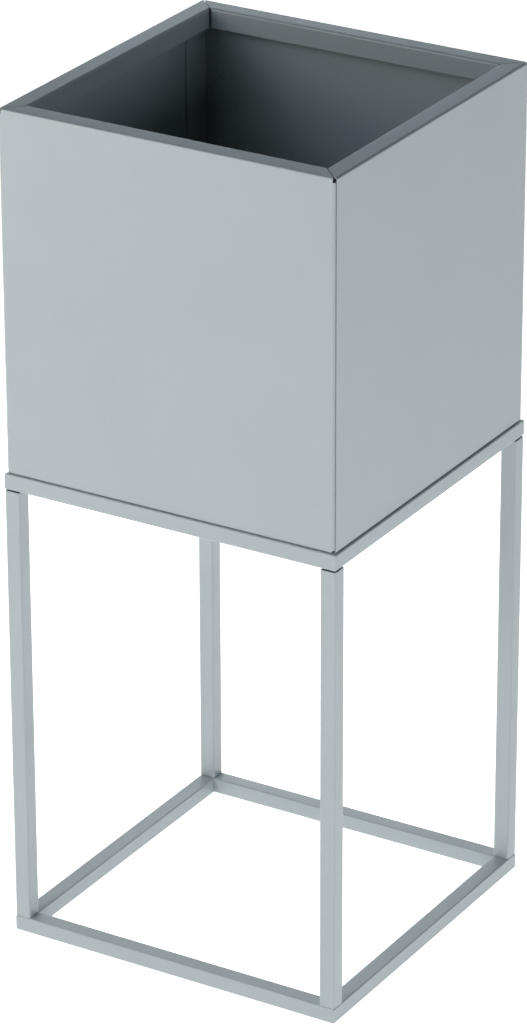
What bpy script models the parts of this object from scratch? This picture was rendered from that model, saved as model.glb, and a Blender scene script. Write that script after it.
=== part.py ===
"""Raised planter on legs: a folded sheet-steel box, bolted to a welded stand of square steel tube.

Metres, +Z up, origin on the floor under the middle of the planter, front towards -Y.
The stand is two square rings of mitred tube with four legs between them. The box is four folded
panels round a loose floor sheet: the front and back panels carry upright flanges that lie behind
the plain edges of the side panels, and every panel has a rim that turns in and down. Four screws
hold the floor and the panels' base flanges to rivet nuts in the top ring, and the bottom ring
stands on four press-in glides.
"""

import math

import bmesh
import bpy

# Driving dimensions
GAP = 0.0003             # between faces that touch on the real object

FRAME_WIDTH = 0.440      # stand, square in plan
FRAME_HEIGHT = 0.598     # underside of the bottom ring to the top of the top ring
TUBE = 0.020             # square tube, outside
TUBE_WALL = 0.0015
TUBE_RADIUS = 0.002      # outside corners of the tube

BOX_WIDTH = 0.436        # box, square in plan
BOX_HEIGHT = 0.444
SHEET = 0.0012           # thickness of the panels
FOLD_RADIUS = 0.0027     # outside radius of every fold
FOLD_LAND = 0.0030       # flat length that a fold takes up, and a little more
RIM_WIDTH = 0.025        # rim, from the box's outside to the lip's inside
LIP_DEPTH = 0.024        # lip, down from the top of the rim
LIP_END = 0.0264         # end of a lip, from the outside of the panel beside it
WRAP_CORNER = 0.0045     # end of the rim on a front or back panel, from the side panel's outside
PLAIN_CORNER = 0.0030    # edge of a side panel, from the front or back panel's outside
MITRE_CLEARANCE = 0.0008 # how far a front or back rim stands off the diagonal
TOP_RELIEF = 0.0055      # notch in the folded corner under the rim
BASE_RELIEF = 0.0033     # the same notch above the base flange
SIDE_FLANGE = 0.042      # upright flange behind a side panel, from the panel's outside
FLANGE_CHAMFER = 0.0370  # 45 degree cut at the top of that flange
BASE_FLANGE = 0.021      # flange under the box, from the panel's outside

FLOOR_SHEET = 0.0015
FLOOR_INSET_X = 0.0035   # floor's edge, from the side panels' outside
FLOOR_INSET_Y = 0.0031   # floor's edge, from the front and back panels' outside
FLOOR_CORNER = 0.004
FLOOR_CELL = 0.014       # half width of the sheet's cell round a screw

SCREW_X = 0.150          # floor screws, in the front and back rails
SCREW_Y = 0.209
SCREW_RADIUS = 0.0025    # M5 button head screw
SCREW_TIP = 0.0019
SCREW_LENGTH = 0.016
SCREW_CUT = 0.010        # height of the cut that makes a screw's holes
HEAD_RADIUS = 0.00475
HEAD_HEIGHT = 0.00275
HEAD_FLAT = 0.0021       # radius of the flat on top of the head
HEAD_EDGE = 0.0007       # upright part of the head's edge
SOCKET_RADIUS = 0.00173  # hexagon socket, across its points
SOCKET_SIDES = 6
SOCKET_DEPTH = 0.0016
WASHER_RADIUS = 0.0053
WASHER_THICKNESS = 0.0012
NUT_RADIUS = 0.0035      # rivet nut, its barrel
NUT_BULGE = 0.0049       # upset collar under the tube's wall
NUT_BULGE_HEIGHT = 0.003
NUT_BULGE_SLOPE = 0.0009
NUT_LENGTH = 0.012
NUT_HOLE = 0.0038

GLIDE_X = 0.190          # glides, in the front and back rails of the bottom ring
GLIDE_Y = 0.210
GLIDE_RADIUS = 0.005
GLIDE_HEAD = 0.001
GLIDE_CHAMFER = 0.0003
GLIDE_STEM = 0.003
GLIDE_STEM_LENGTH = 0.010
GLIDE_HOLE = 0.0033

ARC_STEPS = 5            # segments in a quarter turn of a tube corner or a fold
ROUND_STEPS = 24         # segments round a turned piece

# Places that follow from them
HALF_FRAME = FRAME_WIDTH / 2
HALF_BOX = BOX_WIDTH / 2
HALF_TUBE = TUBE / 2
RING_CENTRE = HALF_FRAME - HALF_TUBE
BOTTOM_RING_BASE = GLIDE_HEAD + GAP
TOP_RING_TOP = BOTTOM_RING_BASE + FRAME_HEIGHT
BOX_BASE = TOP_RING_TOP + GAP
LEG_LENGTH = FRAME_HEIGHT - 2 * TUBE - 2 * GAP
FLOOR_BASE = BOX_BASE + SHEET + GAP
FLOOR_TOP = FLOOR_BASE + FLOOR_SHEET

# Turn about Z that brings a piece made for the front to each side
SIDES = {"front": 0, "right": 90, "back": 180, "left": 270}
CORNERS = {
    "front_left": (-1, -1),
    "front_right": (1, -1),
    "back_left": (-1, 1),
    "back_right": (1, 1),
}

# Linear base colour, roughness, metallic
COATINGS = {
    "powder_coat_box": ((0.50, 0.56, 0.58), 0.45, 0.0),
    "powder_coat_frame": ((0.50, 0.56, 0.58), 0.42, 0.0),
    "zinc_plate": ((0.55, 0.56, 0.57), 0.35, 1.0),
    "seal_rubber": ((0.02, 0.02, 0.02), 0.80, 0.0),
    "glide_plastic": ((0.05, 0.05, 0.055), 0.55, 0.0),
}


def clear_scene():
    for old in list(bpy.data.objects):
        bpy.data.objects.remove(old, do_unlink=True)


def new_collection(name, hidden=False):
    collection = bpy.data.collections.new(name)
    collection.hide_render = hidden
    bpy.context.scene.collection.children.link(collection)
    return collection


def new_material(node_name, coating):
    """A material of the piece's own in one of the coatings."""
    colour, roughness, metallic = COATINGS[coating]
    material = bpy.data.materials.new(f"{node_name}_{coating}")
    material.use_nodes = True
    shader = material.node_tree.nodes["Principled BSDF"]
    shader.inputs["Base Color"].default_value = (*colour, 1.0)
    shader.inputs["Roughness"].default_value = roughness
    shader.inputs["Metallic"].default_value = metallic
    return material


def add_part(name, mesh, coating, location=(0, 0, 0), turn=0):
    """Puts a mesh in the scene as a named piece, turned by a number of degrees about Z."""
    part = bpy.data.objects.new(name, mesh)
    part.location = location
    part.rotation_euler.z = math.radians(turn)
    mesh.materials.clear()
    mesh.materials.append(new_material(name, coating))
    PARTS.objects.link(part)
    return part


def mesh_from(bm, name):
    bmesh.ops.recalc_face_normals(bm, faces=bm.faces)
    mesh = bpy.data.meshes.new(name)
    bm.to_mesh(mesh)
    bm.free()
    return mesh


def smooth_by_angle(mesh, degrees=35):
    mesh.shade_smooth()
    mesh.set_sharp_from_angle(angle=math.radians(degrees))


# Cutting


def add_cutter(name, radius, depth, location, steps=ROUND_STEPS):
    """An upright prism or cylinder, hidden, that a Boolean takes away."""
    bm = bmesh.new()
    bmesh.ops.create_cone(
        bm, cap_ends=True, segments=steps, radius1=radius, radius2=radius, depth=depth
    )
    cutter = bpy.data.objects.new(name, mesh_from(bm, name))
    cutter.location = location
    cutter.hide_render = True
    cutter.display_type = "WIRE"
    CUTTERS.objects.link(cutter)
    return cutter


def cut(part, cutter):
    boolean = part.modifiers.new(f"hole_{len(part.modifiers)}", "BOOLEAN")
    boolean.operation = "DIFFERENCE"
    boolean.solver = "EXACT"
    boolean.object = cutter


# Square tube


def rounded_square(half, radius):
    """Points round a square with rounded corners, counter-clockwise."""
    points = []
    centre = half - radius
    for quarter in range(4):
        middle = math.radians(45 + 90 * quarter)
        centre_x = math.copysign(centre, math.cos(middle))
        centre_y = math.copysign(centre, math.sin(middle))
        for step in range(ARC_STEPS + 1):
            angle = math.radians(90 * (quarter + step / ARC_STEPS))
            points.append(
                (centre_x + radius * math.cos(angle), centre_y + radius * math.sin(angle))
            )
    return points


def add_outline(curve, points):
    spline = curve.splines.new("POLY")
    spline.points.add(len(points) - 1)
    for point, (x, y) in zip(spline.points, points):
        point.co = (x, y, 0, 1)
    spline.use_cyclic_u = True


def tube_mesh(name, length):
    """A hollow square tube along Z, centred on the origin, from an outline with a hole."""
    curve = bpy.data.curves.new(name, "CURVE")
    curve.dimensions = "2D"
    curve.fill_mode = "BOTH"
    curve.extrude = length / 2
    add_outline(curve, rounded_square(HALF_TUBE, TUBE_RADIUS))
    add_outline(curve, rounded_square(HALF_TUBE - TUBE_WALL, TUBE_RADIUS - TUBE_WALL))
    source = bpy.data.objects.new(name, curve)
    bpy.context.scene.collection.objects.link(source)
    bpy.context.view_layer.update()
    graph = bpy.context.evaluated_depsgraph_get()
    mesh = bpy.data.meshes.new_from_object(source.evaluated_get(graph))
    bpy.data.objects.remove(source, do_unlink=True)
    bpy.data.curves.remove(curve)
    bm = bmesh.new()
    bm.from_mesh(mesh)
    bmesh.ops.remove_doubles(bm, verts=bm.verts, dist=1e-5)
    bpy.data.meshes.remove(mesh)
    return mesh_from(bm, name)


def rail_mesh(name):
    """A front rail of a ring: tube along X, with both ends cut back at 45 degrees to mitre it."""
    mesh = tube_mesh(name, FRAME_WIDTH)
    stand_off = GAP / math.sqrt(2)
    for vertex in mesh.vertices:
        end = math.copysign(1, vertex.co.z)
        across = vertex.co.x
        upright = vertex.co.y
        depth = HALF_TUBE + across
        vertex.co = (end * (HALF_FRAME - depth - stand_off), across, upright)
    bm = bmesh.new()
    bm.from_mesh(mesh)
    bpy.data.meshes.remove(mesh)
    return mesh_from(bm, name)


def place_on_side(side, distance):
    """The point at this distance from the middle towards a side."""
    angle = math.radians(SIDES[side] - 90)
    return distance * math.cos(angle), distance * math.sin(angle)


def build_ring(level, middle_height):
    for side, turn in SIDES.items():
        name = f"{level}_rail_{side}"
        mesh = rail_mesh(name)
        smooth_by_angle(mesh)
        x, y = place_on_side(side, RING_CENTRE)
        add_part(name, mesh, "powder_coat_frame", (x, y, middle_height), turn)


def build_legs():
    middle_height = BOTTOM_RING_BASE + FRAME_HEIGHT / 2
    for corner, (sign_x, sign_y) in CORNERS.items():
        name = f"leg_{corner}"
        mesh = tube_mesh(name, LEG_LENGTH)
        smooth_by_angle(mesh)
        place = (sign_x * RING_CENTRE, sign_y * RING_CENTRE, middle_height)
        add_part(name, mesh, "powder_coat_frame", place)


# Folded sheet


def draw_out(bm, edge, step, end_moves=(0, 0), fold=False):
    """Extrudes an edge of the sheet by step. Each end then moves in along the edge by its amount:
    first the end with the lower coordinate, then the other. A fold's old edge is marked for it."""
    grown = bmesh.ops.extrude_edge_only(bm, edges=[edge])["geom"]
    ends = [item for item in grown if isinstance(item, bmesh.types.BMVert)]
    bmesh.ops.translate(bm, verts=ends, vec=step)
    ends.sort(key=lambda vertex: (round(vertex.co.x, 6), round(vertex.co.z, 6)))
    low, high = ends
    along = (high.co - low.co).normalized()
    low.co += along * end_moves[0]
    high.co -= along * end_moves[1]
    if fold:
        edge[bm.edges.layers.float["bevel_weight_edge"]] = 1.0
    return bm.edges.get(ends)


def border_edge(bm, axis, value, middle):
    """The sheet's border edge whose ends share this coordinate and whose middle is nearest."""
    level = [
        edge
        for edge in bm.edges
        if edge.is_boundary and all(abs(v.co[axis] - value) < 1e-6 for v in edge.verts)
    ]
    other = 2 - axis
    return min(
        level, key=lambda edge: abs(sum(v.co[other] for v in edge.verts) / 2 - middle)
    )


def plate(bm, half_width, levels):
    """The panel's outside face, upright at the front, split into rows at the levels."""
    rows = len(levels) - 1
    bmesh.ops.create_grid(bm, x_segments=1, y_segments=rows, size=0.5)
    for vertex in bm.verts:
        row = round((vertex.co.y + 0.5) * rows)
        side = math.copysign(1, vertex.co.x)
        vertex.co = (side * half_width, -HALF_BOX, levels[row])


def add_rim(bm, corner, stand_off):
    """Turns the top edge in and then down. The ends run straight for a land and then follow the
    diagonal, stand_off away from it."""
    top = border_edge(bm, 2, BOX_HEIGHT, 0)
    land = corner - stand_off
    edge = draw_out(bm, top, (0, land, 0), fold=True)
    mitre = RIM_WIDTH - land
    edge = draw_out(bm, edge, (0, mitre, 0), (mitre, mitre))
    set_back = LIP_END - (RIM_WIDTH + stand_off)
    edge = draw_out(bm, edge, (0, 0, -FOLD_LAND), (set_back, set_back), fold=True)
    draw_out(bm, edge, (0, 0, FOLD_LAND - LIP_DEPTH))


def add_base_flange(bm, corner, stand_off):
    base = border_edge(bm, 2, 0, 0)
    land = corner - stand_off
    edge = draw_out(bm, base, (0, land, 0), fold=True)
    mitre = BASE_FLANGE - land
    draw_out(bm, edge, (0, mitre, 0), (mitre, mitre))


def add_side_flanges(bm, half_width):
    """Folds the sides between the two reliefs back behind the side panels."""
    fold_line = HALF_BOX - SHEET - GAP
    middle = (BASE_RELIEF + BOX_HEIGHT - TOP_RELIEF) / 2
    for side in (-1, 1):
        edge = border_edge(bm, 0, side * half_width, middle)
        edge = draw_out(bm, edge, (side * (fold_line - half_width), 0, 0))
        straight = SIDE_FLANGE - FLANGE_CHAMFER
        edge = draw_out(bm, edge, (0, straight, 0), fold=True)
        draw_out(bm, edge, (0, FLANGE_CHAMFER, 0), (0, FLANGE_CHAMFER))


def thicken(sheet, thickness):
    """Gives an open sheet its thickness, on the side its faces point away from."""
    solidify = sheet.modifiers.new("sheet", "SOLIDIFY")
    solidify.thickness = thickness
    solidify.offset = -1
    solidify.use_even_offset = True


def fold_and_thicken(panel):
    """Rounds the marked folds of the open sheet and gives it its thickness on the inside."""
    bevel = panel.modifiers.new("folds", "BEVEL")
    bevel.limit_method = "WEIGHT"
    bevel.offset_type = "OFFSET"
    bevel.width = FOLD_RADIUS
    bevel.segments = ARC_STEPS
    bevel.use_clamp_overlap = False
    thicken(panel, SHEET)


def face_outwards(bm):
    """Turns the sheet's faces so that the plate's normal points out of the box."""
    bmesh.ops.recalc_face_normals(bm, faces=bm.faces)
    face = min(bm.faces, key=lambda item: item.calc_center_median().y)
    if face.normal.y > 0:
        bmesh.ops.reverse_faces(bm, faces=bm.faces)


def panel_mesh(name, wraps_corner):
    bm = bmesh.new()
    bm.edges.layers.float.new("bevel_weight_edge")
    if wraps_corner:
        half_width = HALF_BOX - WRAP_CORNER
        plate(bm, half_width, (0, BASE_RELIEF, BOX_HEIGHT - TOP_RELIEF, BOX_HEIGHT))
        add_side_flanges(bm, half_width)
        corner, stand_off = WRAP_CORNER, MITRE_CLEARANCE
    else:
        half_width = HALF_BOX - PLAIN_CORNER
        plate(bm, half_width, (0, BOX_HEIGHT))
        corner, stand_off = PLAIN_CORNER, 0
    add_rim(bm, corner, stand_off)
    add_base_flange(bm, corner, stand_off)
    face_outwards(bm)
    mesh = bpy.data.meshes.new(name)
    bm.to_mesh(mesh)
    bm.free()
    return mesh


def build_panels():
    panels = {}
    for side, turn in SIDES.items():
        name = f"box_{side}_panel"
        mesh = panel_mesh(name, wraps_corner=side in ("front", "back"))
        panel = add_part(name, mesh, "powder_coat_box", (0, 0, BOX_BASE), turn)
        fold_and_thicken(panel)
        panels[side] = panel
    return panels


def build_floor():
    """A flat sheet on the base flanges, with its four corners cut off. Its rows and columns leave
    each screw's hole in a small face of its own."""
    half_x = HALF_BOX - FLOOR_INSET_X
    half_y = HALF_BOX - FLOOR_INSET_Y
    near = SCREW_X - FLOOR_CELL
    far = SCREW_X + FLOOR_CELL
    row = SCREW_Y - FLOOR_CELL
    columns = (-half_x, -far, -near, near, far, half_x)
    rows = (-half_y, -row, row, half_y)
    bm = bmesh.new()
    grid = [[bm.verts.new((x, y, 0)) for x in columns] for y in rows]
    for lower, upper in zip(grid, grid[1:]):
        for left in range(len(columns) - 1):
            right = left + 1
            bm.faces.new((lower[left], lower[right], upper[right], upper[left]))
    corners = [grid[0][0], grid[0][-1], grid[-1][0], grid[-1][-1]]
    bmesh.ops.bevel(bm, geom=corners, affect="VERTICES", offset=FLOOR_CORNER, segments=1)
    mesh = mesh_from(bm, "box_floor")
    floor = add_part("box_floor", mesh, "powder_coat_box", (0, 0, FLOOR_TOP))
    thicken(floor, FLOOR_SHEET)
    return floor


# Turned pieces


def turned(name, profile, coating, location, closed=False):
    """A profile of (radius, height) points spun about Z. It runs down the outer side."""
    bm = bmesh.new()
    points = [bm.verts.new((radius, 0, height)) for radius, height in profile]
    for start, end in zip(points, points[1:]):
        bm.edges.new((start, end))
    if closed:
        bm.edges.new((points[-1], points[0]))
    mesh = bpy.data.meshes.new(name)
    bm.to_mesh(mesh)
    bm.free()
    part = add_part(name, mesh, coating, location)
    screw = part.modifiers.new("turn", "SCREW")
    screw.steps = ROUND_STEPS
    screw.render_steps = ROUND_STEPS
    screw.use_merge_vertices = True
    screw.merge_threshold = 1e-5
    screw.use_smooth_shade = True
    return part


def screw_profile():
    """Button head above the origin, shank below it."""
    points = [(0, HEAD_HEIGHT)]
    for step in range(ARC_STEPS + 1):
        angle = step / ARC_STEPS * math.pi / 2
        radius = HEAD_FLAT + (HEAD_RADIUS - HEAD_FLAT) * math.sin(angle)
        height = HEAD_EDGE + (HEAD_HEIGHT - HEAD_EDGE) * math.cos(angle)
        points.append((radius, height))
    points += [
        (HEAD_RADIUS, 0),
        (SCREW_RADIUS, 0),
        (SCREW_RADIUS, SCREW_RADIUS - SCREW_TIP - SCREW_LENGTH),
        (SCREW_TIP, -SCREW_LENGTH),
        (0, -SCREW_LENGTH),
    ]
    return points


def nut_profile():
    """Flush head in the tube's wall, upset collar under it, barrel below. Origin at the top."""
    bore = SCREW_RADIUS + GAP
    collar_top = -TUBE_WALL - GAP
    return [
        (bore, 0),
        (NUT_RADIUS, 0),
        (NUT_RADIUS, collar_top),
        (NUT_BULGE, collar_top - NUT_BULGE_SLOPE),
        (NUT_BULGE, collar_top - NUT_BULGE_HEIGHT + NUT_BULGE_SLOPE),
        (NUT_RADIUS, collar_top - NUT_BULGE_HEIGHT),
        (NUT_RADIUS, -NUT_LENGTH),
        (bore, -NUT_LENGTH),
    ]


def washer_profile():
    bore = SCREW_RADIUS + GAP
    return [
        (bore, WASHER_THICKNESS),
        (WASHER_RADIUS, WASHER_THICKNESS),
        (WASHER_RADIUS, 0),
        (bore, 0),
    ]


def glide_profile():
    """Stem up into the tube, flat head below it. Origin on the floor."""
    top = GLIDE_HEAD + GLIDE_STEM_LENGTH
    return [
        (0, top),
        (GLIDE_STEM - GLIDE_CHAMFER, top),
        (GLIDE_STEM, top - GLIDE_CHAMFER),
        (GLIDE_STEM, GLIDE_HEAD),
        (GLIDE_RADIUS - GLIDE_CHAMFER, GLIDE_HEAD),
        (GLIDE_RADIUS, GLIDE_HEAD - GLIDE_CHAMFER),
        (GLIDE_RADIUS, GLIDE_CHAMFER),
        (GLIDE_RADIUS - GLIDE_CHAMFER, 0),
        (0, 0),
    ]


def build_floor_fixings(panels, floor):
    """A screw, a sealing washer and a rivet nut at each corner, and the holes they go through."""
    for corner, (sign_x, sign_y) in CORNERS.items():
        x = sign_x * SCREW_X
        y = sign_y * SCREW_Y
        seat = FLOOR_TOP + GAP
        head_base = seat + WASHER_THICKNESS + GAP
        screw = turned(
            f"floor_screw_{corner}", screw_profile(), "zinc_plate", (x, y, head_base)
        )
        socket = add_cutter(
            f"socket_{corner}",
            SOCKET_RADIUS,
            2 * SOCKET_DEPTH,
            (x, y, head_base + HEAD_HEIGHT),
            steps=SOCKET_SIDES,
        )
        cut(screw, socket)
        turned(
            f"sealing_washer_{corner}", washer_profile(), "seal_rubber", (x, y, seat), closed=True
        )
        turned(
            f"rivet_nut_{corner}",
            nut_profile(),
            "zinc_plate",
            (x, y, TOP_RING_TOP),
            closed=True,
        )
        side = "front" if sign_y < 0 else "back"
        rail = bpy.data.objects[f"top_rail_{side}"]
        screw_hole = add_cutter(
            f"screw_hole_{corner}", SCREW_RADIUS + GAP, SCREW_CUT, (x, y, FLOOR_BASE)
        )
        cut(floor, screw_hole)
        cut(panels[side], screw_hole)
        nut_hole = add_cutter(f"nut_hole_{corner}", NUT_HOLE, TUBE / 2, (x, y, TOP_RING_TOP))
        cut(rail, nut_hole)


def build_glides():
    for corner, (sign_x, sign_y) in CORNERS.items():
        x = sign_x * GLIDE_X
        y = sign_y * GLIDE_Y
        turned(f"foot_glide_{corner}", glide_profile(), "glide_plastic", (x, y, 0))
        side = "front" if sign_y < 0 else "back"
        hole = add_cutter(f"glide_hole_{corner}", GLIDE_HOLE, TUBE / 2, (x, y, BOTTOM_RING_BASE))
        cut(bpy.data.objects[f"bottom_rail_{side}"], hole)


clear_scene()
PARTS = new_collection("raised_planter")
CUTTERS = new_collection("cutters", hidden=True)
build_ring("bottom", BOTTOM_RING_BASE + HALF_TUBE)
build_ring("top", TOP_RING_TOP - HALF_TUBE)
build_legs()
box_panels = build_panels()
box_floor = build_floor()
build_floor_fixings(box_panels, box_floor)
build_glides()
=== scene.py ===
"""Looks for the raised planter: a powder-coated folded-steel box on a stand of square steel tube.

Every panel, rail, leg and fixing is built again here as a fine mesh in the place of its CAD node:
smooth press-brake folds, cut edges rounded by the coating, mitred and ground ring corners, and
turned fixings. Only the rivet nuts, which lie hidden in the top ring, stay as CAD nodes.
Metres, +Z up, front towards -Y.
"""

import math

import bmesh
import bpy
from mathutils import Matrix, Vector


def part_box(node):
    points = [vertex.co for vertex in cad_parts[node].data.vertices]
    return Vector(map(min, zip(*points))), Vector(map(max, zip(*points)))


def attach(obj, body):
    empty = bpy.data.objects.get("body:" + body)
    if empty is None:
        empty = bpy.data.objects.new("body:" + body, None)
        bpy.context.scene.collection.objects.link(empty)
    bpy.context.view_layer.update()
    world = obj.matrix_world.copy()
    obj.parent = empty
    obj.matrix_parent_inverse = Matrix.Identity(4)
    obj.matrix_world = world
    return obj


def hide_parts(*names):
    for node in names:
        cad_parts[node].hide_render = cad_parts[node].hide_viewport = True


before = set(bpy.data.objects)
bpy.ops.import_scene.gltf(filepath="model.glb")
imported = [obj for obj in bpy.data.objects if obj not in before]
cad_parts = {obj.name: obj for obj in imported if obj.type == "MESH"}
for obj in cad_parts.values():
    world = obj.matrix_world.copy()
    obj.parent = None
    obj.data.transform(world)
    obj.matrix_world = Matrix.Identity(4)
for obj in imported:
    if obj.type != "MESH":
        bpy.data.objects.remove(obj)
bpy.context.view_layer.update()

# Places and sizes from the frame
BOX_LOW, BOX_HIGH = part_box("box_right_panel")
FLOOR_LOW, FLOOR_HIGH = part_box("box_floor")
RING_LOW, RING_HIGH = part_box("bottom_rail_right")
TOP_RING_LOW, TOP_RING_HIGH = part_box("top_rail_right")
LEG_LOW, LEG_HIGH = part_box("leg_front_right")
SCREW_LOW, SCREW_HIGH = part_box("floor_screw_front_right")
WASHER_LOW, WASHER_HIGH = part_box("sealing_washer_front_right")
GLIDE_LOW, GLIDE_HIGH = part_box("foot_glide_front_right")

HALF_BOX = BOX_HIGH.x
BOX_BASE = BOX_LOW.z
BOX_HEIGHT = BOX_HIGH.z - BOX_LOW.z
HALF_FRAME = RING_HIGH.x
TUBE = RING_HIGH.z - RING_LOW.z
HALF_TUBE = TUBE / 2
RING_CENTRE = HALF_FRAME - HALF_TUBE

# Folded sheet
SHEET = 0.0012           # thickness of the panels
SHEET_GAP = 0.0003       # between a flange and the panel in front of it
FOLD_RADIUS = 0.0027     # outside radius of every fold
FOLD_LAND = 0.0030       # flat length that a fold takes up, and a little more
RIM_WIDTH = 0.025        # rim, from the box's outside to the lip's inside
LIP_DEPTH = 0.024        # lip, down from the top of the rim
LIP_END = 0.0264         # end of a lip, from the outside of the panel beside it
WRAP_CORNER = 0.0045     # end of the rim on a front or back panel, from the side panel's outside
PLAIN_CORNER = 0.0030    # edge of a side panel, from the front or back panel's outside
MITRE_CLEARANCE = 0.0018 # how far a front or back rim stands off the diagonal
TOP_RELIEF = 0.0055      # notch in the folded corner under the rim
BASE_RELIEF = 0.0033     # the same notch above the base flange
SIDE_FLANGE = 0.042      # upright flange behind a side panel, from the panel's outside
FLANGE_CHAMFER = 0.0370  # 45 degree cut at the top of that flange
BASE_FLANGE = 0.021      # flange under the box, from the panel's outside
FLOOR_CORNER = 0.004     # cut off each corner of the floor sheet

# Square tube
TUBE_WALL = 0.0015
TUBE_RADIUS = 0.002      # outside corners of the tube
LEG_GAP = 0.0011         # how much a leg is shorter than its CAD solid, to open the joint above

# Fixings
SCREW_RADIUS = 0.0025    # M5 button head screw
SCREW_LENGTH = 0.016
THREAD_PITCH = 0.0008
THREAD_DEPTH = 0.0005
THREAD_RUNOUT = 0.0012   # plain length at each end of the thread
THREAD_STEPS = 6         # rings in one pitch
TIP_INSET = 0.00075      # how far the screw's tip is inside its full radius
HEAD_FLAT = 0.0021       # radius of the flat on top of the head
HEAD_EDGE = 0.0007       # upright part of the head's edge
HEAD_ROUND = 0.00025     # radius under that edge
DOME_STEPS = 8           # segments from the head's flat to its edge
SOCKET_RADIUS = 0.00173  # hexagon socket, across its points
SOCKET_DEPTH = 0.0016
SOCKET_MOUTH = 0.0002    # chamfer at the socket's mouth
DRILL_POINT = 0.0004     # cone below the socket's floor
FIRST_SCREW_TURN = 17.0  # degrees, so that no two sockets stand the same way
SCREW_TURN_STEP = 31.0
WASHER_BORE = 0.0028     # radius
WASHER_ROUND = 0.00045
GLIDE_STEM = 0.003       # radius over the barbs
GLIDE_HEAD = 0.001       # height of the pad
GLIDE_ROUND = 0.0003
BARB_DEPTH = 0.0005
BARBS = 5
BARB_EDGE = 0.75         # where a barb is widest, in pitches below its top
BARB_STEP = 0.8          # where it has stepped back in

# Edges and curves
COAT_EDGE = 0.00025      # radius that the coating gives a cut edge
COAT_EDGE_STEPS = 2
COAT_EDGE_TURN = 50      # degrees: an edge that turns by more gets that radius
TURNED_EDGE_TURN = 40    # degrees: an edge of a turned piece that turns by more stays sharp
FOLD_STEPS = 12          # segments in a quarter turn of a fold or a tube corner
ROUND_STEPS = 64         # segments round a turned piece
ARC_STEPS = 6            # segments in a rounded edge of its profile
LARGE_FACE_WEIGHT = 100  # makes the largest face at a vertex set its normal
SAME_PLACE = 1e-6        # two coordinates this near are the same
SAME_PLACE_DIGITS = 6
HALF_GRID = 0.5          # half the side of the unit grid that a panel starts as

# Finishes. A scale is in repeats per metre, a depth in metres, and a stray is how far a value
# goes either way. Shades are the darkest and lightest, as shares of the colour.
COAT_COLOUR = (0.364, 0.404, 0.420)
COAT_SHADES = (0.985, 1.015)
COAT_SHADE_SCALE = 9.0
COAT_ROUGHNESS = 0.31
COAT_ROUGHNESS_STRAY = 0.02
COAT_ROUGHNESS_SCALE = 14.0
PEEL_SCALE = 520.0
PEEL_DEPTH = 0.00024
COAT_GRAIN_SCALE = 1200.0
COAT_GRAIN_DEPTH = 0.00001

ZINC_DARK = (0.50, 0.51, 0.53)
ZINC_LIGHT = (0.62, 0.62, 0.60)
ZINC_SHADE_SCALE = 260.0
ZINC_ROUGHNESS = (0.24, 0.40)
ZINC_ROUGHNESS_SCALE = 900.0
SCRATCH_SCALE = 2600.0
SCRATCH_DEPTH = 0.000006

MOULDED_SHADES = (0.85, 1.15)
MOULDED_SHADE_SCALE = 120.0
MOULDED_ROUGHNESS_STRAY = 0.06
MOULDED_ROUGHNESS_SCALE = 300.0
RUBBER_COLOUR = (0.018, 0.018, 0.019)
RUBBER_ROUGHNESS = 0.75
RUBBER_GRAIN_SCALE = 2400.0
RUBBER_GRAIN_DEPTH = 0.00002
PLASTIC_COLOUR = (0.030, 0.030, 0.032)
PLASTIC_ROUGHNESS = 0.50
PLASTIC_GRAIN_SCALE = 1800.0
PLASTIC_GRAIN_DEPTH = 0.00001

# Noise is mostly between these values
NOISE_LOW = 0.3
NOISE_HIGH = 0.7

# A seed moves a pattern by this much along each axis. A group's pieces have seeds 1 apart.
SEED_SHIFT = (1.0, 2.7, 1.3)
PANEL_SEED = 1.0
FLOOR_SEED = 5.0
BOTTOM_RING_SEED = 6.0
TOP_RING_SEED = 10.0
LEG_SEED = 14.0
SCREW_SEED = 20.0
WASHER_SEED = 24.0
GLIDE_SEED = 28.0
NUT_SEED = 32.0

# Turn about Z that brings a piece made for the front to each side
SIDES = {"front": 0, "right": 90, "back": 180, "left": 270}
CORNERS = {
    "front_left": (-1, -1),
    "front_right": (1, -1),
    "back_left": (-1, 1),
    "back_right": (1, 1),
}


# Materials


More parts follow.
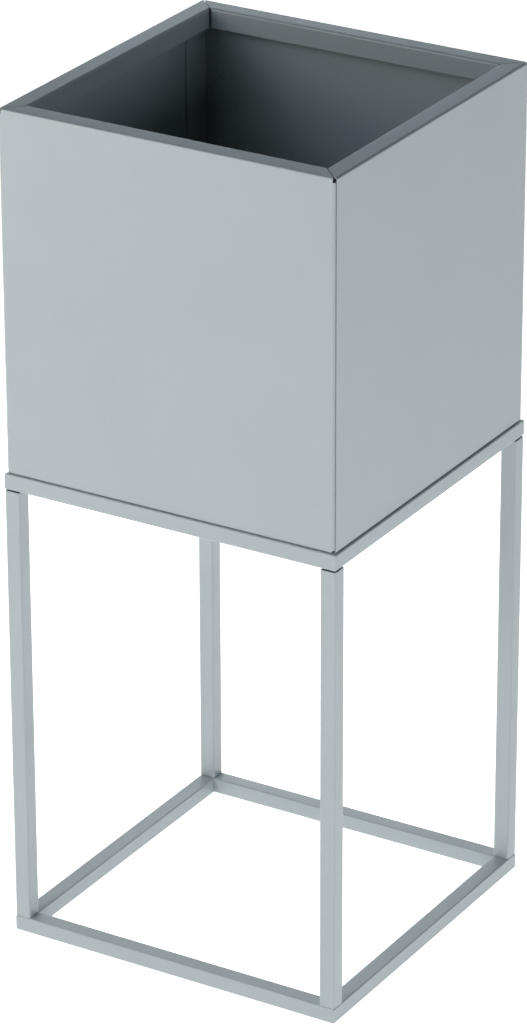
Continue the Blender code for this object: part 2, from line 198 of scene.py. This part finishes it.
class Nodes:
    """A short way to write a material's node tree."""

    def __init__(self, material):
        material.use_nodes = True
        self.tree = material.node_tree
        self.shader = self.tree.nodes["Principled BSDF"]

    def add(self, kind, settings=None, **inputs):
        node = self.tree.nodes.new(kind)
        for name, value in (settings or {}).items():
            setattr(node, name, value)
        for name, value in inputs.items():
            self.feed(node.inputs[name.replace("_", " ")], value)
        return node

    def feed(self, socket, value):
        """Links an output to a socket, or sets the socket's own value."""
        if isinstance(value, bpy.types.NodeSocket):
            self.tree.links.new(value, socket)
        else:
            socket.default_value = value

    def place(self, seed):
        """The piece's own coordinates in metres, moved so that no two pieces share a pattern."""
        coordinates = self.add("ShaderNodeTexCoord").outputs["Object"]
        shift = [seed * step for step in SEED_SHIFT]
        moved = self.add("ShaderNodeMapping", Vector=coordinates, Location=shift)
        return moved.outputs["Vector"]

    def noise(self, vector, scale, detail=2.0):
        node = self.add("ShaderNodeTexNoise", Vector=vector, Scale=scale, Detail=detail)
        return node.outputs["Fac"]

    def spread(self, noise, low, high):
        """A noise value mapped to low and high."""
        node = self.add(
            "ShaderNodeMapRange",
            Value=noise,
            From_Min=NOISE_LOW,
            From_Max=NOISE_HIGH,
            To_Min=low,
            To_Max=high,
        )
        return node.outputs["Result"]

    def shade(self, noise, dark, light):
        """A colour that a noise value takes from dark to light."""
        node = self.add(
            "ShaderNodeMix",
            {"data_type": "RGBA"},
            Factor=self.spread(noise, 0.0, 1.0),
            A=(*dark, 1.0),
            B=(*light, 1.0),
        )
        return node.outputs["Result"]

    def bump(self, height, depth, **below):
        """The normal of a surface with this relief, on top of the normal below if there is one."""
        node = self.add("ShaderNodeBump", Height=height, Strength=1.0, Distance=depth, **below)
        return node.outputs["Normal"]

    def dress(self, colour, roughness, normal):
        """Gives the shader its colour, roughness and normal."""
        self.feed(self.shader.inputs["Base Color"], colour)
        self.feed(self.shader.inputs["Roughness"], roughness)
        self.feed(self.shader.inputs["Normal"], normal)


def scaled(colour, share):
    return [share * channel for channel in colour]


def powder_coat(name, seed):
    """Satin polyester powder: fine orange peel, and a film that is a little uneven."""
    material = bpy.data.materials.new(name)
    nodes = Nodes(material)
    place = nodes.place(seed)
    dark, light = (scaled(COAT_COLOUR, share) for share in COAT_SHADES)
    colour = nodes.shade(nodes.noise(place, COAT_SHADE_SCALE), dark, light)
    roughness = nodes.spread(
        nodes.noise(place, COAT_ROUGHNESS_SCALE, detail=4.0),
        COAT_ROUGHNESS - COAT_ROUGHNESS_STRAY,
        COAT_ROUGHNESS + COAT_ROUGHNESS_STRAY,
    )
    peel = nodes.bump(nodes.noise(place, PEEL_SCALE), PEEL_DEPTH)
    grain = nodes.noise(place, COAT_GRAIN_SCALE, detail=1.0)
    nodes.dress(colour, roughness, nodes.bump(grain, COAT_GRAIN_DEPTH, Normal=peel))
    return material


def zinc_plate(name, seed):
    """Bright zinc with fine scratches."""
    material = bpy.data.materials.new(name)
    nodes = Nodes(material)
    place = nodes.place(seed)
    shades = nodes.noise(place, ZINC_SHADE_SCALE, detail=4.0)
    colour = nodes.shade(shades, ZINC_DARK, ZINC_LIGHT)
    roughness = nodes.spread(nodes.noise(place, ZINC_ROUGHNESS_SCALE), *ZINC_ROUGHNESS)
    scratches = nodes.noise(place, SCRATCH_SCALE, detail=3.0)
    nodes.dress(colour, roughness, nodes.bump(scratches, SCRATCH_DEPTH))
    nodes.shader.inputs["Metallic"].default_value = 1.0
    return material


def moulded(name, seed, base_colour, base_roughness, grain_scale, grain_depth):
    """Rubber or plastic with a fine moulded grain."""
    material = bpy.data.materials.new(name)
    nodes = Nodes(material)
    place = nodes.place(seed)
    dark, light = (scaled(base_colour, share) for share in MOULDED_SHADES)
    colour = nodes.shade(nodes.noise(place, MOULDED_SHADE_SCALE, detail=3.0), dark, light)
    roughness = nodes.spread(
        nodes.noise(place, MOULDED_ROUGHNESS_SCALE),
        base_roughness - MOULDED_ROUGHNESS_STRAY,
        base_roughness + MOULDED_ROUGHNESS_STRAY,
    )
    nodes.dress(colour, roughness, nodes.bump(nodes.noise(place, grain_scale), grain_depth))
    return material


# Pieces


def add_piece(name, mesh, material, replaced, location=(0, 0, 0), turn=0):
    """A named piece of the object, which stands for a CAD node."""
    piece = bpy.data.objects.new(name, mesh)
    piece.location = location
    piece.rotation_euler.z = math.radians(turn)
    bpy.context.scene.collection.objects.link(piece)
    mesh.materials.append(material)
    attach(piece, "root")
    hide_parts(replaced)
    return piece


def mesh_from(bm, name):
    mesh = bpy.data.meshes.new(name)
    bm.to_mesh(mesh)
    bm.free()
    return mesh


def thicken(piece, thickness):
    """Gives an open sheet its thickness, on the side its faces point away from."""
    solidify = piece.modifiers.new("sheet", "SOLIDIFY")
    solidify.thickness = thickness
    solidify.offset = -1
    solidify.use_even_offset = True


def round_edges(piece):
    """Gives the sharper edges the coating's radius, and keeps the flat faces flat."""
    bevel = piece.modifiers.new("coated_edges", "BEVEL")
    bevel.limit_method = "ANGLE"
    bevel.angle_limit = math.radians(COAT_EDGE_TURN)
    bevel.offset_type = "OFFSET"
    bevel.width = COAT_EDGE
    bevel.segments = COAT_EDGE_STEPS
    bevel.use_clamp_overlap = False
    bevel.miter_outer = "MITER_ARC"
    keep_flats(piece)


def keep_flats(piece):
    """Shades the piece smooth with its flat faces flat."""
    piece.data.shade_smooth()
    weighted = piece.modifiers.new("flat_faces", "WEIGHTED_NORMAL")
    weighted.weight = LARGE_FACE_WEIGHT
    weighted.keep_sharp = True


# Folded panels


def draw_out(bm, edge, step, end_moves=(0, 0), fold=False):
    """Extrudes an edge of the sheet by step. Each end then moves in along the edge by its amount:
    first the end with the lower coordinate, then the other. A fold's old edge is marked for it."""
    grown = bmesh.ops.extrude_edge_only(bm, edges=[edge])["geom"]
    ends = [item for item in grown if isinstance(item, bmesh.types.BMVert)]
    bmesh.ops.translate(bm, verts=ends, vec=step)
    ends.sort(key=lambda vertex: [round(vertex.co[axis], SAME_PLACE_DIGITS) for axis in (0, 2)])
    low, high = ends
    along = (high.co - low.co).normalized()
    low.co += along * end_moves[0]
    high.co -= along * end_moves[1]
    if fold:
        edge[bm.edges.layers.float["bevel_weight_edge"]] = 1.0
    return bm.edges.get(ends)


def border_edge(bm, axis, value, middle):
    """The sheet's border edge whose ends share this coordinate and whose middle is nearest."""
    level = [
        edge
        for edge in bm.edges
        if edge.is_boundary and all(abs(v.co[axis] - value) < SAME_PLACE for v in edge.verts)
    ]
    other = 2 - axis
    return min(level, key=lambda edge: abs(sum(v.co[other] for v in edge.verts) / 2 - middle))


def plate(bm, half_width, levels):
    """The panel's outside face, upright at the front, split into rows at the levels."""
    rows = len(levels) - 1
    bmesh.ops.create_grid(bm, x_segments=1, y_segments=rows, size=HALF_GRID)
    for vertex in bm.verts:
        row = round((vertex.co.y + HALF_GRID) / (2 * HALF_GRID) * rows)
        side = math.copysign(1, vertex.co.x)
        vertex.co = (side * half_width, -HALF_BOX, levels[row])


def add_rim(bm, corner, stand_off):
    """Turns the top edge in and then down. The ends run straight for a land and then follow the
    diagonal, stand_off away from it."""
    top = border_edge(bm, 2, BOX_HEIGHT, 0)
    land = corner - stand_off
    edge = draw_out(bm, top, (0, land, 0), fold=True)
    mitre = RIM_WIDTH - land
    edge = draw_out(bm, edge, (0, mitre, 0), (mitre, mitre))
    set_back = LIP_END - (RIM_WIDTH + stand_off)
    edge = draw_out(bm, edge, (0, 0, -FOLD_LAND), (set_back, set_back), fold=True)
    draw_out(bm, edge, (0, 0, FOLD_LAND - LIP_DEPTH))


def add_base_flange(bm, corner, stand_off):
    """Turns the bottom edge in, with its ends as on the rim."""
    base = border_edge(bm, 2, 0, 0)
    land = corner - stand_off
    edge = draw_out(bm, base, (0, land, 0), fold=True)
    mitre = BASE_FLANGE - land
    draw_out(bm, edge, (0, mitre, 0), (mitre, mitre))


def add_side_flanges(bm, half_width):
    """Folds the sides between the two reliefs back behind the side panels."""
    fold_line = HALF_BOX - SHEET - SHEET_GAP
    middle = (BASE_RELIEF + BOX_HEIGHT - TOP_RELIEF) / 2
    for side in (-1, 1):
        edge = border_edge(bm, 0, side * half_width, middle)
        edge = draw_out(bm, edge, (side * (fold_line - half_width), 0, 0))
        straight = SIDE_FLANGE - FLANGE_CHAMFER
        edge = draw_out(bm, edge, (0, straight, 0), fold=True)
        draw_out(bm, edge, (0, FLANGE_CHAMFER, 0), (0, FLANGE_CHAMFER))


def face_outwards(bm):
    """Turns the sheet's faces so that the plate's normal points out of the box."""
    bmesh.ops.recalc_face_normals(bm, faces=bm.faces)
    face = min(bm.faces, key=lambda item: item.calc_center_median().y)
    if face.normal.y > 0:
        bmesh.ops.reverse_faces(bm, faces=bm.faces)


def panel_mesh(name, wraps_corner):
    """A front panel as an open sheet, with folded sides if it wraps the corners. Its origin is at
    its foot, in the middle of the box."""
    bm = bmesh.new()
    bm.edges.layers.float.new("bevel_weight_edge")
    if wraps_corner:
        half_width = HALF_BOX - WRAP_CORNER
        plate(bm, half_width, (0, BASE_RELIEF, BOX_HEIGHT - TOP_RELIEF, BOX_HEIGHT))
        add_side_flanges(bm, half_width)
        corner, stand_off = WRAP_CORNER, MITRE_CLEARANCE
    else:
        half_width = HALF_BOX - PLAIN_CORNER
        plate(bm, half_width, (0, BOX_HEIGHT))
        corner, stand_off = PLAIN_CORNER, 0
    add_rim(bm, corner, stand_off)
    add_base_flange(bm, corner, stand_off)
    face_outwards(bm)
    return mesh_from(bm, name)


def build_panels():
    for index, (side, turn) in enumerate(SIDES.items()):
        name = f"{side}_panel"
        mesh = panel_mesh(name, wraps_corner=side in ("front", "back"))
        material = powder_coat(f"{name}_powder_coat", PANEL_SEED + index)
        panel = add_piece(
            name, mesh, material, f"box_{side}_panel", (0, 0, BOX_BASE), turn
        )
        folds = panel.modifiers.new("folds", "BEVEL")
        folds.limit_method = "WEIGHT"
        folds.offset_type = "OFFSET"
        folds.width = FOLD_RADIUS
        folds.segments = FOLD_STEPS
        folds.use_clamp_overlap = False
        thicken(panel, SHEET)
        round_edges(panel)


def build_floor():
    """The loose floor sheet, with its four corners cut off."""
    bm = bmesh.new()
    cut = FLOOR_CORNER
    corners = []
    for sign_x, sign_y in ((-1, -1), (1, -1), (1, 1), (-1, 1)):
        x = sign_x * FLOOR_HIGH.x
        y = sign_y * FLOOR_HIGH.y
        along_x = (x - sign_x * cut, y, 0)
        along_y = (x, y - sign_y * cut, 0)
        corners += [along_y, along_x] if sign_x == sign_y else [along_x, along_y]
    bm.faces.new([bm.verts.new(corner) for corner in corners])
    material = powder_coat("floor_sheet_powder_coat", FLOOR_SEED)
    floor = add_piece(
        "floor_sheet",
        mesh_from(bm, "floor_sheet"),
        material,
        "box_floor",
        (0, 0, FLOOR_HIGH.z),
    )
    thicken(floor, FLOOR_HIGH.z - FLOOR_LOW.z)
    round_edges(floor)


# Stand


def rounded_square(half, radius):
    """Points round a square with rounded corners, counter-clockwise."""
    points = []
    centre = half - radius
    for quarter in range(4):
        middle = math.radians(45 + 90 * quarter)
        centre_x = math.copysign(centre, math.cos(middle))
        centre_y = math.copysign(centre, math.sin(middle))
        for step in range(FOLD_STEPS + 1):
            angle = math.radians(90 * (quarter + step / FOLD_STEPS))
            points.append(
                (centre_x + radius * math.cos(angle), centre_y + radius * math.sin(angle))
            )
    return points


def tube_mesh(name, length, mitred):
    """A hollow square tube: along X with its ends cut at 45 degrees for a front rail, its outer
    face towards -Y, or along Z with square ends for a leg."""
    bm = bmesh.new()
    rings = []
    for outline in (
        rounded_square(HALF_TUBE, TUBE_RADIUS),
        rounded_square(HALF_TUBE - TUBE_WALL, TUBE_RADIUS - TUBE_WALL),
    ):
        for end in (-1, 1):
            ring = []
            for across, upright in outline:
                if mitred:
                    reach = length / 2 - HALF_TUBE - across
                    ring.append(bm.verts.new((end * reach, across, upright)))
                else:
                    ring.append(bm.verts.new((across, upright, end * length / 2)))
            rings.append(ring)
    outer_low, outer_high, inner_low, inner_high = rings
    count = len(outer_low)
    for first, second in (
        (outer_low, outer_high),
        (outer_high, inner_high),
        (inner_high, inner_low),
        (inner_low, outer_low),
    ):
        for index in range(count):
            following = (index + 1) % count
            bm.faces.new((first[index], first[following], second[following], second[index]))
    bmesh.ops.recalc_face_normals(bm, faces=bm.faces)
    return mesh_from(bm, name)


def place_on_side(side, distance):
    """The point at this distance from the middle towards a side."""
    angle = math.radians(SIDES[side] - 90)
    return distance * math.cos(angle), distance * math.sin(angle)


def build_ring(level, middle_height, first_seed):
    for index, (side, turn) in enumerate(SIDES.items()):
        name = f"{level}_{side}_rail"
        mesh = tube_mesh(name, 2 * HALF_FRAME, mitred=True)
        material = powder_coat(f"{name}_powder_coat", first_seed + index)
        x, y = place_on_side(side, RING_CENTRE)
        rail = add_piece(
            name,
            mesh,
            material,
            f"{level}_rail_{side}",
            (x, y, middle_height),
            turn,
        )
        keep_flats(rail)


def build_legs():
    length = LEG_HIGH.z - LEG_GAP - LEG_LOW.z
    for index, (corner, (sign_x, sign_y)) in enumerate(CORNERS.items()):
        name = f"{corner}_leg"
        mesh = tube_mesh(name, length, mitred=False)
        material = powder_coat(f"{name}_powder_coat", LEG_SEED + index)
        place = (sign_x * RING_CENTRE, sign_y * RING_CENTRE, LEG_LOW.z + length / 2)
        leg = add_piece(name, mesh, material, f"leg_{corner}", place)
        round_edges(leg)


# Fixings


def hexagon_radius(radius, angle):
    """The distance from the middle of a hexagon to its side at an angle."""
    sector = math.radians(60)
    return radius * math.cos(sector / 2) / math.cos(angle % sector - sector / 2)


def lathe(name, profile, closed=False):
    """A surface through rings round Z. A profile point is (radius, height) for a circle, (radius,
    height, shape) for a ring whose radius is shape(radius, angle), or a radius of 0 for a pole."""
    bm = bmesh.new()
    rings = []
    for radius, height, *shape in profile:
        if radius == 0:
            rings.append([bm.verts.new((0, 0, height))])
            continue
        ring = []
        for step in range(ROUND_STEPS):
            angle = 2 * math.pi * step / ROUND_STEPS
            reach = shape[0](radius, angle) if shape else radius
            ring.append(bm.verts.new((reach * math.cos(angle), reach * math.sin(angle), height)))
        rings.append(ring)
    following = rings[1:] + rings[:1] if closed else rings[1:]
    for upper, lower in zip(rings, following):
        for step in range(ROUND_STEPS):
            after = (step + 1) % ROUND_STEPS
            if len(upper) == 1:
                corners = (upper[0], lower[step], lower[after])
            elif len(lower) == 1:
                corners = (upper[step], lower[0], upper[after])
            else:
                corners = (upper[step], lower[step], lower[after], upper[after])
            bm.faces.new(corners)
    bmesh.ops.recalc_face_normals(bm, faces=bm.faces)
    mesh = mesh_from(bm, name)
    mesh.shade_smooth()
    mesh.set_sharp_from_angle(angle=math.radians(TURNED_EDGE_TURN))
    return mesh


def arc(centre, radius, start, end):
    """Profile points on a circle about centre, from one angle in degrees to another."""
    points = []
    for step in range(ARC_STEPS + 1):
        angle = math.radians(start + (end - start) * step / ARC_STEPS)
        points.append((centre[0] + radius * math.cos(angle), centre[1] + radius * math.sin(angle)))
    return points


def thread(height):
    """The shape of a ring of the screw's thread: it rises and falls once in each turn."""

    def shape(radius, angle):
        turn = (height / THREAD_PITCH - angle / (2 * math.pi)) % 1
        return radius - THREAD_DEPTH * abs(2 * turn - 1)

    return shape


def screw_profile():
    """Button head with a hexagon socket above the origin, threaded shank below it."""
    head_radius = (SCREW_HIGH.x - SCREW_LOW.x) / 2
    head_height = SCREW_HIGH.z - SCREW_LOW.z - SCREW_LENGTH
    floor = head_height - SOCKET_DEPTH
    points = [
        (0, floor - DRILL_POINT),
        (SOCKET_RADIUS / 2, floor, hexagon_radius),
        (SOCKET_RADIUS, floor, hexagon_radius),
        (SOCKET_RADIUS, head_height - SOCKET_MOUTH, hexagon_radius),
        (SOCKET_RADIUS + SOCKET_MOUTH, head_height, hexagon_radius),
    ]
    for step in range(DOME_STEPS + 1):
        angle = step / DOME_STEPS * math.pi / 2
        radius = HEAD_FLAT + (head_radius - HEAD_FLAT) * math.sin(angle)
        points.append((radius, HEAD_EDGE + (head_height - HEAD_EDGE) * math.cos(angle)))
    points += arc((head_radius - HEAD_ROUND, HEAD_ROUND), HEAD_ROUND, 0, -90)
    points += [(SCREW_RADIUS, 0), (SCREW_RADIUS, -THREAD_RUNOUT)]
    length = SCREW_LENGTH - 2 * THREAD_RUNOUT
    rings = round(length / THREAD_PITCH * THREAD_STEPS)
    for ring in range(rings + 1):
        height = -THREAD_RUNOUT - length * ring / rings
        points.append((SCREW_RADIUS, height, thread(height)))
    points += [
        (SCREW_RADIUS - THREAD_DEPTH, -SCREW_LENGTH + THREAD_RUNOUT / 2),
        (SCREW_RADIUS - TIP_INSET, -SCREW_LENGTH),
        (0, -SCREW_LENGTH),
    ]
    return points


def washer_profile():
    """A soft ring that bulges a little at its outside. Its origin is at its underside."""
    outside = (WASHER_HIGH.x - WASHER_LOW.x) / 2
    thickness = WASHER_HIGH.z - WASHER_LOW.z
    centre = outside - WASHER_ROUND
    points = [(WASHER_BORE, thickness)]
    points += arc((centre, thickness - WASHER_ROUND), WASHER_ROUND, 90, 0)
    points += arc((centre, WASHER_ROUND), WASHER_ROUND, 0, -90)
    points.append((WASHER_BORE, 0))
    return points


def glide_profile():
    """A low rounded pad with a barbed stem up into the tube. Its origin is on the floor."""
    top = GLIDE_HIGH.z - GLIDE_LOW.z
    outside = (GLIDE_HIGH.x - GLIDE_LOW.x) / 2
    centre = outside - GLIDE_ROUND
    root = GLIDE_STEM - BARB_DEPTH
    points = [(0, top), (root, top)]
    pitch = (top - GLIDE_HEAD) / BARBS
    for barb in range(BARBS):
        height = top - barb * pitch
        points.append((GLIDE_STEM, height - BARB_EDGE * pitch))
        points.append((root, height - BARB_STEP * pitch))
        points.append((root, height - pitch + GLIDE_ROUND / 2))
    points.append((root, GLIDE_HEAD))
    points += arc((centre, GLIDE_HEAD - GLIDE_ROUND), GLIDE_ROUND, 90, 0)
    points += arc((centre, GLIDE_ROUND), GLIDE_ROUND, 0, -90)
    points.append((0, 0))
    return points


def middle_of(low, high):
    """The middle of a box, seen from above."""
    return (low.x + high.x) / 2, (low.y + high.y) / 2


def build_screw(corner, index):
    low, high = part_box(f"floor_screw_{corner}")
    name = f"{corner}_floor_screw"
    mesh = lathe(name, screw_profile())
    material = zinc_plate(f"{name}_zinc", SCREW_SEED + index)
    place = (*middle_of(low, high), low.z + SCREW_LENGTH)
    turn = FIRST_SCREW_TURN + SCREW_TURN_STEP * index
    add_piece(name, mesh, material, f"floor_screw_{corner}", place, turn)


def build_washer(corner, index):
    low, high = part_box(f"sealing_washer_{corner}")
    name = f"{corner}_sealing_washer"
    mesh = lathe(name, washer_profile(), closed=True)
    material = moulded(
        f"{name}_rubber",
        WASHER_SEED + index,
        RUBBER_COLOUR,
        RUBBER_ROUGHNESS,
        RUBBER_GRAIN_SCALE,
        RUBBER_GRAIN_DEPTH,
    )
    place = (*middle_of(low, high), low.z)
    add_piece(name, mesh, material, f"sealing_washer_{corner}", place)


def build_glide(corner, index):
    low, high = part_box(f"foot_glide_{corner}")
    name = f"{corner}_foot_glide"
    mesh = lathe(name, glide_profile())
    material = moulded(
        f"{name}_plastic",
        GLIDE_SEED + index,
        PLASTIC_COLOUR,
        PLASTIC_ROUGHNESS,
        PLASTIC_GRAIN_SCALE,
        PLASTIC_GRAIN_DEPTH,
    )
    place = (*middle_of(low, high), low.z)
    add_piece(name, mesh, material, f"foot_glide_{corner}", place)


def finish_rivet_nut(corner, index):
    """The nuts stay as CAD nodes, so they only get a finish."""
    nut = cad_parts[f"rivet_nut_{corner}"]
    nut.material_slots[0].material = zinc_plate(f"{corner}_rivet_nut_zinc", NUT_SEED + index)


def build_fixings():
    for index, corner in enumerate(CORNERS):
        build_screw(corner, index)
        build_washer(corner, index)
        build_glide(corner, index)
        finish_rivet_nut(corner, index)


# Light and camera

FLOOR_REACH = 30.0
FLOOR_GREY = (0.8, 0.8, 0.8, 1.0)
WHITE = (1.0, 1.0, 1.0, 1.0)
AIM_HEIGHT = 0.6         # most lights are turned to this height on the object's middle line
WALL_LIGHT_HEIGHT = 3.3

CAMERA_PLACE = (2.7482, -4.5698, 2.9533)
CAMERA_DOWN = 24.571     # degrees below level
CAMERA_ROLL = 0.170
CAMERA_TURN = 30.994     # degrees from looking towards the back
CAMERA_LENS = 176.49     # millimetres, for the sensor below
CAMERA_SENSOR = 36.0
CAMERA_REACH = 100.0

NEUTRAL = (1.0, 1.0, 1.0)
WARM = (1.0, 0.92, 0.85)
COOL = (0.80, 0.93, 1.0)

# Azimuth in degrees from +X, distance, height, height of the point the light is turned to, its
# width and its height in metres, its radiance and its tint
SOFTBOXES = {
    "right_low_softbox": (330, 1.1, 0.25, AIM_HEIGHT, 0.40, 0.40, 2.0, NEUTRAL),
    "right_softbox": (330, 1.1, 0.90, AIM_HEIGHT, 0.40, 0.40, 1.1, COOL),
    "front_softbox": (240, 1.7, 1.15, AIM_HEIGHT, 0.70, 0.70, 5.5, WARM),
    "left_softbox": (150, 1.7, 1.15, AIM_HEIGHT, 0.70, 0.70, 4.2, NEUTRAL),
    "back_left_low_softbox": (120, 1.7, 0.35, AIM_HEIGHT, 0.70, 0.60, 2.0, NEUTRAL),
    "back_left_softbox": (120, 1.7, 1.15, AIM_HEIGHT, 0.70, 0.70, 1.3, COOL),
    "back_softbox": (90, 1.7, 1.15, AIM_HEIGHT, 0.70, 0.70, 5.0, NEUTRAL),
    "high_left_softbox": (195, 10.4, 6.6, AIM_HEIGHT, 3.4, 3.6, 1.8, NEUTRAL),
    "high_front_softbox": (255, 10.4, 6.6, AIM_HEIGHT, 6.6, 3.6, 2.9, COOL),
    "high_fill_softbox": (225, 9.6, 7.2, AIM_HEIGHT, 7.9, 6.4, 1.2, COOL),
    "right_wall_light": (0, 11.4, WALL_LIGHT_HEIGHT, WALL_LIGHT_HEIGHT, 9.4, 2.5, 3.1, COOL),
    "back_left_wall_light": (135, 11.4, WALL_LIGHT_HEIGHT, WALL_LIGHT_HEIGHT, 9.4, 2.5, 1.2, COOL),
    "front_wall_light": (270, 11.4, WALL_LIGHT_HEIGHT, WALL_LIGHT_HEIGHT, 9.4, 2.5, 0.7, NEUTRAL),
}


def build_stage():
    """A white floor bright enough to leave no shadow, as on a lit table."""
    bm = bmesh.new()
    bmesh.ops.create_grid(bm, x_segments=1, y_segments=1, size=FLOOR_REACH)
    floor = bpy.data.objects.new("studio_floor", mesh_from(bm, "studio_floor"))
    bpy.context.scene.collection.objects.link(floor)
    material = bpy.data.materials.new("studio_floor_white")
    nodes = Nodes(material)
    nodes.shader.inputs["Base Color"].default_value = FLOOR_GREY
    nodes.shader.inputs["Roughness"].default_value = 1.0
    nodes.shader.inputs["Specular IOR Level"].default_value = 0.0
    nodes.shader.inputs["Emission Color"].default_value = WHITE
    nodes.shader.inputs["Emission Strength"].default_value = 1.0
    floor.data.materials.append(material)


def build_lights():
    """Soft rectangular lights, unseen by the camera. Radiance times pi times area is the power."""
    for name, place_and_light in SOFTBOXES.items():
        azimuth, distance, height, aim_height, width, tall, radiance, tint = place_and_light
        light = bpy.data.lights.new(name, "AREA")
        light.shape = "RECTANGLE"
        light.size = width
        light.size_y = tall
        light.color = tint
        light.energy = radiance * math.pi * width * tall
        softbox = bpy.data.objects.new(name, light)
        angle = math.radians(azimuth)
        softbox.location = (distance * math.cos(angle), distance * math.sin(angle), height)
        aim = Vector((0, 0, aim_height)) - softbox.location
        softbox.rotation_euler = aim.to_track_quat("-Z", "Y").to_euler()
        softbox.visible_camera = False
        bpy.context.scene.collection.objects.link(softbox)


def build_camera():
    camera = bpy.data.cameras.new("camera")
    camera.lens = CAMERA_LENS
    camera.sensor_width = CAMERA_SENSOR
    camera.clip_end = CAMERA_REACH
    holder = bpy.data.objects.new("camera", camera)
    holder.location = CAMERA_PLACE
    turns = (90 - CAMERA_DOWN, CAMERA_ROLL, CAMERA_TURN)
    holder.rotation_euler = [math.radians(turn) for turn in turns]
    bpy.context.scene.collection.objects.link(holder)
    bpy.context.scene.camera = holder


def build_world():
    """The camera sees plain white past the floor, and the lights do all the lighting."""
    world = bpy.data.worlds.new("studio")
    bpy.context.scene.world = world
    world.use_nodes = True
    tree = world.node_tree
    backdrop = tree.nodes["Background"]
    backdrop.inputs["Color"].default_value = WHITE
    seen = tree.nodes.new("ShaderNodeLightPath").outputs["Is Camera Ray"]
    tree.links.new(seen, backdrop.inputs["Strength"])


build_ring("bottom", (RING_LOW.z + RING_HIGH.z) / 2, BOTTOM_RING_SEED)
build_ring("top", (TOP_RING_LOW.z + TOP_RING_HIGH.z) / 2, TOP_RING_SEED)
build_legs()
build_panels()
build_floor()
build_fixings()
build_stage()
build_lights()
build_camera()
build_world()
bpy.context.scene.view_settings.view_transform = "Standard"
